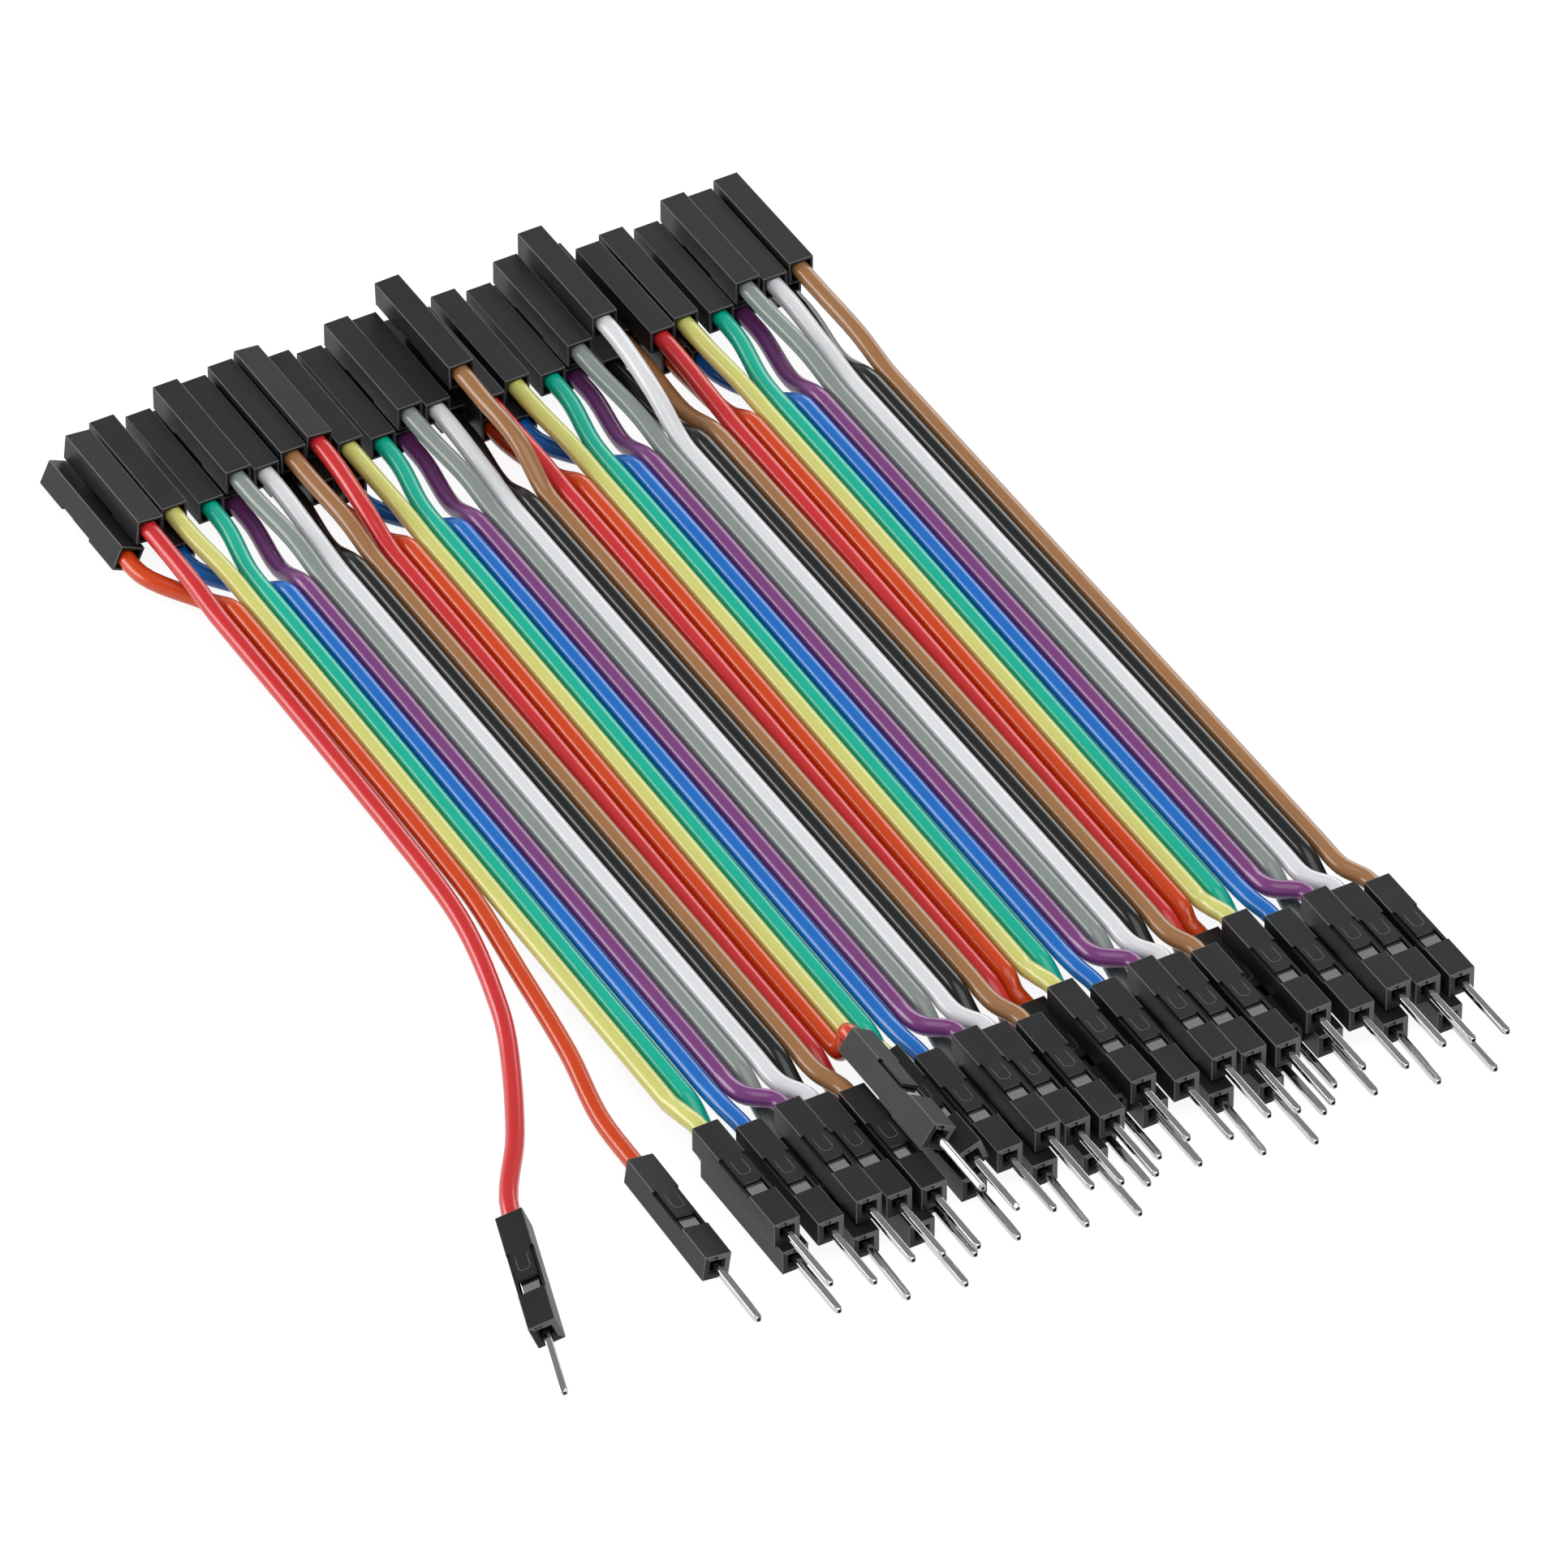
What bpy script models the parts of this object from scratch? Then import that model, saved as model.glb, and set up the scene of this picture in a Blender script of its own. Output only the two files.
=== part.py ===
"""Forty-way ribbon of breadboard jumper wires, male to female.

Forty insulated wires lie side by side in one ribbon. Each ends in a black
one-way housing with a socket contact at the far end (+Y) and in the same
housing with a square pin at the near end (-Y). The housings rest on the ground
plane in two layers. Two wires are peeled off the ribbon on the pin side.

Metres, +Z up, +X across the ribbon from wire 1 to wire 40.
"""
import math

import bmesh
import bpy
from mathutils import Matrix, Vector

MM = 0.001

# Ribbon
WIRE_COUNT = 40
WIRE_DIAMETER = 1.68 * MM
RIBBON_GAP = 0.065 * MM
RIBBON_PITCH = WIRE_DIAMETER + RIBBON_GAP
RIBBON_HEIGHT = 3.55 * MM
RIBBON_START = -33.5 * MM
RIBBON_LENGTH = 73.5 * MM
RIBBON_END = RIBBON_START + RIBBON_LENGTH

# Fan-outs between the ribbon and the wire ends of the two rows of housings
PIN_FAN_LENGTH = 5.7 * MM
SOCKET_FAN_LENGTH = 15.14 * MM
MALE_ROW = RIBBON_START - PIN_FAN_LENGTH
FEMALE_ROW = RIBBON_END + SOCKET_FAN_LENGTH
ROW_SKEW = 0.0155
PIN_EXIT = 1.0 * MM
SOCKET_EXIT = 2.5 * MM

# Contacts
PIN_WIDTH = 0.66 * MM
PIN_REACH = 7.4 * MM
PIN_NOSE = 0.5 * MM
PIN_NOSE_SHARE = 0.5
PIN_ROOT = 1.2 * MM
CONTACT_WIDTH = 1.5 * MM
CONTACT_WALL = 0.25 * MM
CONTACT_CLEARANCE = 0.08 * MM
CRIMP_LENGTH = 2.6 * MM
NECK_HEIGHT = 0.9 * MM
SOCKET_CLEARANCE = 0.03 * MM
SOCKET_WIDTH = PIN_WIDTH + 2 * SOCKET_CLEARANCE
SEAT_GAP = 0.3 * MM

# One-way housing, the same moulding at both ends
HOUSING_WIDTH = 2.5 * MM
HOUSING_LENGTH = 14.0 * MM
MOUTH_CLEARANCE = 0.15 * MM
MOUTH_WIDTH = WIRE_DIAMETER + 2 * MOUTH_CLEARANCE
MOUTH_DEPTH = 3.6 * MM
LATCH_START = 4.7 * MM
TONGUE_LENGTH = 3.9 * MM
TONGUE_WIDTH = 1.8 * MM
TONGUE_SLOT = 0.07 * MM
WINDOW_LENGTH = 1.3 * MM
WINDOW_DEPTH = 0.7 * MM
SIDE_STEP = 0.3 * MM
CATCH_LENGTH = 0.5 * MM
CATCH_DEPTH = 0.25 * MM
CAVITY_WIDTH = TONGUE_WIDTH + 2 * TONGUE_SLOT
CAVITY_HEIGHT = CONTACT_WIDTH + 2 * CONTACT_CLEARANCE
FRONT_WALL = 0.9 * MM
OPENING_CLEARANCE = 0.2 * MM
OPENING_WIDTH = PIN_WIDTH + 2 * OPENING_CLEARANCE
FUNNEL_WIDTH = 1.5 * MM
FUNNEL_DEPTH = 0.35 * MM
KEYWAY_WIDTH = 0.65 * MM
KEYWAY_OFFSET = -0.4 * MM
KEYWAY_WALL = 0.15 * MM

# Reach of a cutter past the face that it opens, how far cutters that meet pass
# each other, and how close points are welded
OVERSHOOT = 0.2 * MM
LIP = 0.02 * MM
WELD_DISTANCE = 0.001 * MM

# Edges sharper than this many degrees stay sharp on the round pieces, and faces
# closer to one plane than this many degrees are merged
SHARP_ANGLE = 50.0
FLAT_ANGLE = 0.05

# Pitch of the lanes in which the housings lie in two layers, in housing widths
LANE_SHARE = 0.7

# Turns an outline drawn in Y and Z, and raised along Z, to stand along X
YZ_OUTLINE = Matrix(((0, 0, 1, 0), (1, 0, 0, 0), (0, 1, 0, 0), (0, 0, 0, 1)))

# Moves the whole ribbon so that the origin is under the middle of its box
TO_CENTRE = (9.35 * MM, -4.28 * MM, 0.0)

COLOURS = {
    "red": (0.60, 0.022, 0.020),
    "orange": (0.68, 0.060, 0.008),
    "yellow": (0.60, 0.62, 0.14),
    "green": (0.005, 0.38, 0.27),
    "blue": (0.010, 0.13, 0.52),
    "purple": (0.19, 0.045, 0.21),
    "grey": (0.23, 0.28, 0.26),
    "white": (0.72, 0.73, 0.75),
    "black": (0.016, 0.020, 0.018),
    "brown": (0.32, 0.15, 0.066),
}
COLOUR_ORDER = list(COLOURS)

# Lay of each colour's housing in a group of ten: across from its lane, forward of
# the row and height of its axis, in housing widths, then roll and yaw in degrees.
# Two layers lie half a width and about one and a half widths above the ground.
MALE_LAY = {
    "red": (-0.192, 0.28, 0.5, 0, 0),
    "orange": (0.116, -0.68, 0.5, 0, 0),
    "yellow": (0.12, 0.0, 1.532, 0, 0),
    "green": (-0.276, 0.32, 0.5, 0, 0),
    "blue": (0.1, 0.572, 1.412, 0, 0),
    "purple": (0.932, 0.488, 1.632, 0, 0),
    "grey": (0.005, 0.948, 0.5, 0, -1.5),
    "white": (0.592, 0.696, 1.52, 0, 0),
    "black": (0.2, 1.38, 0.5, 0, 0),
    "brown": (0.412, 0.94, 1.52, 0, 0),
}
FEMALE_LAY = {
    "red": (0.12, -0.32, 1.52, 0, 0),
    "orange": (-0.692, -0.48, 0.5, 0, 0),
    "yellow": (-0.152, -0.04, 1.52, 0, 0),
    "green": (0.552, -0.16, 1.3, 0, 0),
    "blue": (-1.76, -0.96, 0.5, 0, 0),
    "purple": (0.46, 0.48, 0.5, 0, 0),
    "grey": (-0.16, 0.328, 1.732, 0, 0),
    "white": (0.2, 0.172, 1.584, 0, 0),
    "black": (0.4, 0.72, 0.5, 0, 0),
    "brown": (-0.04, 0.3, 1.764, 0, 0),
}
# Single housings that lie apart from the pattern, those of the peeled wires among them
MALE_EXCEPTIONS = {
    1: (-5.733, -0.332, 0.664, -21, -17.4),
    2: (-1.431, -0.622, 0.572, 8, -1.2),
    4: (-0.44, 0.32, 0.5, 0, 0),
    9: (0.38, 1.38, 0.5, 0, 0),
    11: (-0.012, 0.28, 0.5, 0, 0),
    12: (0.08, -0.6, 2.44, 33, 0),
    13: (0.32, 0.12, 1.66, -20, 0),
    14: (-0.44, 0.32, 0.5, 0, 0),
    39: (0.38, 1.38, 0.5, 0, 0),
}
FEMALE_EXCEPTIONS = {
    1: (0.07, -0.366, 1.592, 6, 0),
    2: (-1.53, -0.392, 0.672, 25, 0),
    11: (0.336, 0.38, 1.92, 6, 0),
    13: (0.0, -0.04, 1.52, 0, 0),
    20: (0.0, 0.572, 2.54, -1.6, 0),
    21: (-0.02, -0.48, 1.52, 0, 0),
    28: (0.38, 0.692, 2.28, 0, 0),
    29: (-0.18, 0.24, 0.5, 0, 0),
    30: (0.144, 1.4, 0.5, 0, 0),
    32: (-0.24, -0.48, 0.5, 0, 0),
    35: (-1.32, -0.96, 0.5, 0, 0),
}
# Height of each colour's wire where the ribbon starts to fan out to the pins, in
# millimetres: each group of ten rises a little, and the next starts low again
START_HEIGHTS = {
    "red": 2.65,
    "orange": 2.8,
    "yellow": 2.9,
    "green": 2.85,
    "blue": 3.2,
    "purple": 3.45,
    "grey": 3.65,
    "white": 3.8,
    "black": 3.87,
    "brown": 3.82,
}
# Where the fan-outs bend: share of their length, of their sideways and of their upward travel
PIN_FAN = (0.55, 0.08, 0.70)
STEEP_FAN = {12: (0.65, 0.1, 0.12)}
SOCKET_FAN = (0.45, 0.0, 0.92)
# Routes of the two peeled wires from the ribbon to their pin housings, in millimetres
PEELED = {
    1: [(-34.1, 4.0, 3.1), (-34.6, -5.6, 2.7), (-36.8, -15.6, 2.2), (-38.9, -21.2, 1.95),
        (-43.1, -29.7, 1.7)],
    2: [(-32.25, -1.0, 3.0), (-33.2, -12.5, 2.4), (-34.3, -23.1, 1.9), (-35.7, -31.0, 1.5)],
}
# Jumpers whose pieces are separate solids; the others are one fused solid each
OPENED = (1, 2, 3, 12, 40)


def clear_scene():
    for obj in list(bpy.data.objects):
        bpy.data.objects.remove(obj, do_unlink=True)


def make_collection(name):
    collection = bpy.data.collections.new(name)
    bpy.context.scene.collection.children.link(collection)
    return collection


def make_material(name, colour, roughness, metallic=0.0):
    material = bpy.data.materials.new(name)
    material.use_nodes = True
    shader = material.node_tree.nodes["Principled BSDF"]
    shader.inputs["Base Color"].default_value = (*colour, 1.0)
    shader.inputs["Roughness"].default_value = roughness
    shader.inputs["Metallic"].default_value = metallic
    material.diffuse_color = (*colour, 1.0)
    return material


clear_scene()
PARTS = make_collection("jumper_ribbon")
CUTTERS = make_collection("cutters")
PLASTIC = make_material("housing_plastic", (0.022, 0.022, 0.023), 0.42)
TIN = make_material("tinned_contact", (0.72, 0.72, 0.72), 0.22, 1.0)
INSULATION = {name: make_material(name + "_insulation", colour, 0.32) for name, colour in COLOURS.items()}


def add_object(name, mesh, collection=PARTS, matrix=None):
    obj = bpy.data.objects.new(name, mesh)
    collection.objects.link(obj)
    if matrix is not None:
        obj.matrix_world = matrix
    if collection is CUTTERS:
        obj.hide_render = True
        obj.display_type = "WIRE"
    return obj


def block(name, low, high, material):
    """A box between two corners, as a cutter or a piece to be joined."""
    mesh = bpy.data.meshes.new(name)
    low = Vector(low)
    high = Vector(high)
    cube = bmesh.new()
    bmesh.ops.create_cube(cube, size=1.0)
    bmesh.ops.scale(cube, vec=high - low, verts=cube.verts)
    bmesh.ops.translate(cube, vec=(high + low) / 2, verts=cube.verts)
    cube.to_mesh(mesh)
    cube.free()
    mesh.materials.append(material)
    return add_object(name, mesh, CUTTERS)


def evaluated_mesh(obj):
    bpy.context.view_layer.update()
    graph = bpy.context.evaluated_depsgraph_get()
    return bpy.data.meshes.new_from_object(obj.evaluated_get(graph))


def merge_flat(mesh):
    """Merge faces that lie in one plane, and drop points on straight edges."""
    flat = bmesh.new()
    flat.from_mesh(mesh)
    bmesh.ops.dissolve_limit(flat, angle_limit=math.radians(FLAT_ANGLE), verts=flat.verts, edges=flat.edges,
                             delimit={"MATERIAL"})
    flat.to_mesh(mesh)
    flat.free()


def combine(base, others, operation):
    """Join or cut base with each of the others, which are used up."""
    for other in others:
        step = base.modifiers.new(operation.lower(), "BOOLEAN")
        step.operation = operation
        step.solver = "EXACT"
        step.material_mode = "TRANSFER"
        step.object = other
    mesh = evaluated_mesh(base)
    merge_flat(mesh)
    base.modifiers.clear()
    base.data = mesh
    for other in others:
        bpy.data.objects.remove(other, do_unlink=True)
    return base


def mesh_of(obj):
    """Keep an object's mesh and drop the object."""
    mesh = obj.data
    bpy.data.objects.remove(obj, do_unlink=True)
    return mesh


def welded(mesh):
    """Close a curve's loose caps and turn every face outwards."""
    weld = bmesh.new()
    weld.from_mesh(mesh)
    bmesh.ops.remove_doubles(weld, verts=weld.verts, dist=WELD_DISTANCE)
    bmesh.ops.recalc_face_normals(weld, faces=weld.faces)
    weld.to_mesh(mesh)
    weld.free()
    return mesh


def solid_of(curve, material, collection):
    """The curve's solid as a mesh object of the same name."""
    line = bpy.data.objects.new(curve.name, curve)
    CUTTERS.objects.link(line)
    mesh = welded(evaluated_mesh(line))
    bpy.data.objects.remove(line, do_unlink=True)
    mesh.materials.clear()
    mesh.materials.append(material)
    return add_object(curve.name, mesh, collection)


def plate(name, outline, low, high, material, turn=None):
    """A flat outline raised from one height to another, then turned."""
    curve = bpy.data.curves.new(name, "CURVE")
    curve.dimensions = "2D"
    curve.fill_mode = "BOTH"
    curve.extrude = (high - low) / 2
    spline = curve.splines.new("POLY")
    spline.points.add(len(outline) - 1)
    for knot, point in zip(spline.points, outline):
        knot.co = (*point, 0.0, 1.0)
    spline.use_cyclic_u = True
    solid = solid_of(curve, material, CUTTERS)
    solid.data.transform(Matrix.Translation((0, 0, (high + low) / 2)))
    if turn is not None:
        solid.data.transform(turn)
    return solid


def flared(bar, share):
    """Widen or narrow the -Y end of a bar by a share."""
    end = min(corner.co.y for corner in bar.data.vertices)
    for corner in bar.data.vertices:
        if corner.co.y < end + WELD_DISTANCE:
            corner.co.x *= share
            corner.co.z *= share
    return bar


def tapered_bar(name, side, rear, shoulder, end, end_side, material):
    """A square bar along Y whose last stretch, from its shoulder to its end, widens or narrows."""
    bar = block(name, (-side / 2, shoulder, -side / 2), (side / 2, rear, side / 2), material)
    taper = bmesh.new()
    taper.from_mesh(bar.data)
    face = min(taper.faces, key=lambda item: item.calc_center_median().y)
    drawn = bmesh.ops.extrude_discrete_faces(taper, faces=[face])["faces"][0]
    for corner in drawn.verts:
        corner.co.y = end
    taper.to_mesh(bar.data)
    taper.free()
    return flared(bar, end_side / side)


def latch_step():
    """Cutter that lowers the side walls beside the latch tongue and its window."""
    half = HOUSING_WIDTH / 2
    tongue = TONGUE_WIDTH / 2
    outer = half + OVERSHOOT
    tip = -LATCH_START - TONGUE_LENGTH
    edge = tip - WINDOW_LENGTH
    outline = [(-outer, edge), (outer, edge), (outer, -LATCH_START), (tongue, -LATCH_START),
               (tongue, tip), (-tongue, tip), (-tongue, -LATCH_START), (-outer, -LATCH_START)]
    return plate("latch_step", outline, half - SIDE_STEP, half + OVERSHOOT, PLASTIC)


def funnel():
    """Cutter of the mating opening with its square lead-in."""
    flare = (FUNNEL_WIDTH - OPENING_WIDTH) / FUNNEL_DEPTH * OVERSHOOT
    return tapered_bar("funnel", OPENING_WIDTH, FRONT_WALL + OVERSHOOT - HOUSING_LENGTH,
                       FUNNEL_DEPTH - HOUSING_LENGTH, -HOUSING_LENGTH - OVERSHOOT, FUNNEL_WIDTH + flare, PLASTIC)


def housing_blank(name):
    half = HOUSING_WIDTH / 2
    return block(name, (-half, -HOUSING_LENGTH, -half), (half, 0, half), PLASTIC)


def mouth():
    side = MOUTH_WIDTH / 2
    return block("mouth", (-side, -MOUTH_DEPTH, -side), (side, OVERSHOOT, side), PLASTIC)


def closed_housing(window):
    """The outside of the one-way housing, for a contact that doesn't show."""
    opening = OPENING_WIDTH / 2
    recess = block("recess", (-opening, -HOUSING_LENGTH - OVERSHOOT, -opening),
                   (opening, FRONT_WALL - HOUSING_LENGTH, opening), PLASTIC)
    cuts = [mouth(), flared(recess, FUNNEL_WIDTH / OPENING_WIDTH), latch_step()]
    if window:
        half = HOUSING_WIDTH / 2
        side = TONGUE_WIDTH / 2 - LIP
        tip = -LATCH_START - TONGUE_LENGTH
        cuts.append(block("window", (-side, tip - WINDOW_LENGTH + LIP, half - WINDOW_DEPTH),
                          (side, tip - LIP, half + OVERSHOOT / 2), PLASTIC))
    return mesh_of(combine(housing_blank("closed_housing"), cuts, "DIFFERENCE"))


def open_housing():
    """The one-way housing with its cavity: wire end at the origin, mating end at -Y, latch on top.

    The latch tongue is rooted near the wire end, free at its sides and at its
    tip, and carries a ramped catch underneath. The contact shows in the window
    beyond the tip.
    """
    top = HOUSING_WIDTH / 2
    tip = -LATCH_START - TONGUE_LENGTH
    edge = tip - WINDOW_LENGTH
    roof = CAVITY_HEIGHT / 2
    side = CAVITY_WIDTH / 2
    front = FRONT_WALL - HOUSING_LENGTH
    outline = [(-MOUTH_DEPTH / 2, -roof), (-MOUTH_DEPTH / 2, roof), (tip + CATCH_LENGTH, roof),
               (tip - LIP, roof - CATCH_DEPTH), (tip - LIP, top + OVERSHOOT / 2), (edge + LIP, top + OVERSHOOT / 2),
               (edge + LIP, roof), (front, roof), (front, -roof)]
    key = (-HOUSING_LENGTH - OVERSHOOT, OPENING_WIDTH / 2 - LIP)
    key_outline = [key, (FUNNEL_DEPTH - HOUSING_LENGTH, key[1]), (-HOUSING_LENGTH, top - KEYWAY_WALL),
                   (key[0], top - KEYWAY_WALL)]
    cuts = [mouth(), plate("cavity", outline, -side, side, PLASTIC, YZ_OUTLINE),
            funnel(), latch_step(),
            plate("keyway", key_outline, KEYWAY_OFFSET - KEYWAY_WIDTH / 2, KEYWAY_OFFSET + KEYWAY_WIDTH / 2,
                  PLASTIC, YZ_OUTLINE)]
    for direction in (-1, 1):
        inner = direction * (TONGUE_WIDTH / 2 - LIP)
        outer = direction * (side + LIP)
        cuts.append(block("tongue_slot", (min(inner, outer), tip - 2 * LIP, roof / 2),
                          (max(inner, outer), -LATCH_START - LIP, top + OVERSHOOT / 3), PLASTIC))
    return mesh_of(combine(housing_blank("open_housing"), cuts, "DIFFERENCE"))


def tube(name, points, radius, material):
    """A round bar through the points, shaded smooth between its end faces."""
    curve = bpy.data.curves.new(name, "CURVE")
    curve.dimensions = "3D"
    curve.bevel_depth = radius
    curve.bevel_resolution = 2
    curve.use_fill_caps = True
    spline = curve.splines.new("POLY")
    spline.points.add(len(points) - 1)
    for knot, point in zip(spline.points, points):
        knot.co = (*point, 1.0)
    bar = solid_of(curve, material, PARTS)
    bar.data.shade_smooth()
    bar.data.set_sharp_from_angle(angle=math.radians(SHARP_ANGLE))
    return bar


def pin_bar(name, root):
    """The square pin with its tapered nose, from its root inside the housing to its tip."""
    tip = -HOUSING_LENGTH - PIN_REACH
    return tapered_bar(name, PIN_WIDTH, root, tip + PIN_NOSE, tip, PIN_WIDTH * PIN_NOSE_SHARE, TIN)


def contact(name, with_pin):
    """A formed contact: open crimp barrel, low neck, and a box with a pin or a socket.

    The box's rear shoulder stands just beyond the catch of the latch tongue.
    """
    half = CONTACT_WIDTH / 2
    inside = half - CONTACT_WALL
    front = FRONT_WALL + CONTACT_CLEARANCE - HOUSING_LENGTH
    neck_start = -MOUTH_DEPTH - CRIMP_LENGTH
    shoulder = -LATCH_START - TONGUE_LENGTH - CONTACT_CLEARANCE
    base = block(name, (-half, front, -half), (half, -MOUTH_DEPTH, half), TIN)
    cuts = [block("barrel", (-inside, shoulder, -inside), (inside, OVERSHOOT - MOUTH_DEPTH, half + OVERSHOOT), TIN),
            block("neck", (-half - OVERSHOOT, shoulder, NECK_HEIGHT - half),
                  (half + OVERSHOOT, neck_start, half + OVERSHOOT / 2), TIN)]
    if not with_pin:
        hole = SOCKET_WIDTH / 2
        cuts.append(block("socket", (-hole, front - OVERSHOOT, -hole), (hole, shoulder + OVERSHOOT, hole), TIN))
    combine(base, cuts, "DIFFERENCE")
    if with_pin:
        combine(base, [pin_bar("pin", front + PIN_ROOT)], "UNION")
    return base


def colour_of(wire):
    return COLOUR_ORDER[(wire - 1) % len(COLOUR_ORDER)]


def lane(wire, pitch):
    return (wire - (WIRE_COUNT + 1) / 2) * pitch


def placed(lay, wire, row, away):
    """A housing's wire end in its lane, forward of its row in the direction given by away."""
    across, forward, height, roll, yaw = lay
    x = lane(wire, LANE_SHARE * HOUSING_WIDTH) + across * HOUSING_WIDTH
    y = row + ROW_SKEW * x + away * forward * HOUSING_WIDTH
    turn = Matrix.Rotation(math.radians(yaw), 4, "Z") @ Matrix.Rotation(math.radians(roll), 4, "Y")
    return Matrix.Translation((x, y, height * HOUSING_WIDTH)) @ turn


def male_place(wire):
    """Where a pin housing lies; its wire end faces +Y and its latch is on top."""
    lay = MALE_EXCEPTIONS.get(wire, MALE_LAY[colour_of(wire)])
    return placed(lay, wire, MALE_ROW, -1)


def female_place(wire):
    """Where a socket housing lies; its wire end faces -Y and its latch is underneath."""
    lay = FEMALE_EXCEPTIONS.get(wire, FEMALE_LAY[colour_of(wire)])
    return placed(lay, wire, FEMALE_ROW, 1) @ Matrix.Rotation(math.pi, 4, "X")


def fan_out(start, end, shares):
    """The point between the ribbon and a housing: first up or down, then sideways."""
    along, across, height = shares
    return Vector((start.x + (end.x - start.x) * across,
                   start.y + (end.y - start.y) * along,
                   start.z + (end.z - start.z) * height))


def wire_route(wire, male, female, seat):
    """The wire's centre line, from seat deep in the pin housing to the same in the socket housing."""
    x = lane(wire, RIBBON_PITCH)
    near = [male @ Vector((0, y, 0)) for y in (-seat, PIN_EXIT)]
    far = [female @ Vector((0, y, 0)) for y in (SOCKET_EXIT, -seat)]
    ribbon_end = Vector((x, RIBBON_END, RIBBON_HEIGHT))
    if wire in PEELED:
        near += [Vector(point) * MM for point in reversed(PEELED[wire])]
    else:
        ribbon_start = Vector((x, RIBBON_START, START_HEIGHTS[colour_of(wire)] * MM))
        near += [fan_out(ribbon_start, near[-1], STEEP_FAN.get(wire, PIN_FAN)), ribbon_start]
    return near + [ribbon_end, fan_out(ribbon_end, far[0], SOCKET_FAN)] + far


def placed_copy(name, mesh, matrix, collection=CUTTERS):
    return add_object(name, mesh.copy(), collection, matrix)


def opened_jumper(wire, meshes):
    """A jumper as five solids: its wire, two housings and two contacts."""
    label = f"{wire:02d}_{colour_of(wire)}"
    male = male_place(wire)
    female = female_place(wire)
    placed_copy("pin_housing_" + label, meshes["open"], male, PARTS)
    placed_copy("pin_contact_" + label, meshes["pin"], male, PARTS)
    placed_copy("socket_housing_" + label, meshes["open"], female, PARTS)
    placed_copy("socket_contact_" + label, meshes["socket"], female, PARTS)
    route = wire_route(wire, male, female, MOUTH_DEPTH - SEAT_GAP)
    tube("wire_" + label, route, WIRE_DIAMETER / 2, INSULATION[colour_of(wire)])


def fused_jumper(wire, meshes):
    """A jumper as one solid: its wire joined to both housings and to the pin."""
    label = f"{wire:02d}_{colour_of(wire)}"
    male = male_place(wire)
    female = female_place(wire)
    route = wire_route(wire, male, female, MOUTH_DEPTH + SEAT_GAP)
    base = tube("jumper_" + label, route, WIRE_DIAMETER / 2, INSULATION[colour_of(wire)])
    joined = [placed_copy("pin_housing", meshes["closed"], male),
              placed_copy("socket_housing", meshes["closed_female"], female),
              placed_copy("pin", meshes["bar"], male)]
    combine(base, joined, "UNION")


def build():
    meshes = {
        "closed": closed_housing(window=True),
        "closed_female": closed_housing(window=False),
        "open": open_housing(),
        "pin": mesh_of(contact("pin_contact", True)),
        "socket": mesh_of(contact("socket_contact", False)),
        "bar": mesh_of(pin_bar("bar", FRONT_WALL + PIN_ROOT - HOUSING_LENGTH)),
    }
    for wire in range(1, WIRE_COUNT + 1):
        if wire in OPENED:
            opened_jumper(wire, meshes)
        else:
            fused_jumper(wire, meshes)
    for obj in PARTS.objects:
        obj.matrix_world = Matrix.Translation(TO_CENTRE) @ obj.matrix_world


build()
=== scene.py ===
"""Finished pieces for the forty-way ribbon of breadboard jumper wires.

The insulated wires, the moulded housings and the formed contacts are made to
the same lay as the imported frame. Metres, +Z up, +X from wire 1 to wire 40.
"""

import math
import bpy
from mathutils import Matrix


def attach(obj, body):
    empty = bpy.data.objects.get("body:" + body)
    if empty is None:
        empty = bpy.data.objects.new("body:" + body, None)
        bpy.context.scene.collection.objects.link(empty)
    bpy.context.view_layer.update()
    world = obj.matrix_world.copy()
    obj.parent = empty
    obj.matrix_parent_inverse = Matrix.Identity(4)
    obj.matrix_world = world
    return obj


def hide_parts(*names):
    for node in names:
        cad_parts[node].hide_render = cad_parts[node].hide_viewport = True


bl_info = {
    "name": "Jumper wire ribbon",
    "version": (1, 0, 0),
    "blender": (4, 5, 0),
    "location": "View3D > Sidebar > Jumpers",
    "description": "Builds the wires, housings and contacts of a jumper wire ribbon",
    "category": "Add Mesh",
}

import bmesh
import bpy
from bpy.props import FloatProperty, FloatVectorProperty, IntProperty, PointerProperty
from bpy.types import Operator, Panel, PropertyGroup
from mathutils import Matrix, Vector
from mathutils.geometry import interpolate_bezier

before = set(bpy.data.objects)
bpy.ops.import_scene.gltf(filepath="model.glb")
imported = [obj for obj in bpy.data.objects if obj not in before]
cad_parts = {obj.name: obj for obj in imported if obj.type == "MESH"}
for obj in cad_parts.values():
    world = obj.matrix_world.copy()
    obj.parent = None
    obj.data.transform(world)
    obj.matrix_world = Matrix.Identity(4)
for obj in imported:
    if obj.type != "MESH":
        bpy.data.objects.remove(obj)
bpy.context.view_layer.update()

MM = 0.001
BODY = "root"

# The lay, as in the frame. Wires are numbered from 1 at -X. The rows are where the
# housings' wire ends lie, and an exit is how far a wire runs straight out of its mouth.
WIRE_COUNT = 40
COLOUR_ORDER = ("red", "orange", "yellow", "green", "blue", "purple", "grey", "white", "black", "brown")
TO_CENTRE = Vector((9.35, -4.28, 0.0)) * MM
RIBBON_PITCH = 1.745 * MM
RIBBON_HEIGHT = 3.55 * MM
RIBBON_START = -33.5 * MM
RIBBON_END = 40.0 * MM
MALE_ROW = -39.2 * MM
FEMALE_ROW = 55.14 * MM
ROW_SKEW = 0.0155
LANE_SHARE = 0.7
PIN_EXIT = 1.0 * MM
SOCKET_EXIT = 2.5 * MM
SEAT_SHARE = 0.9
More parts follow.
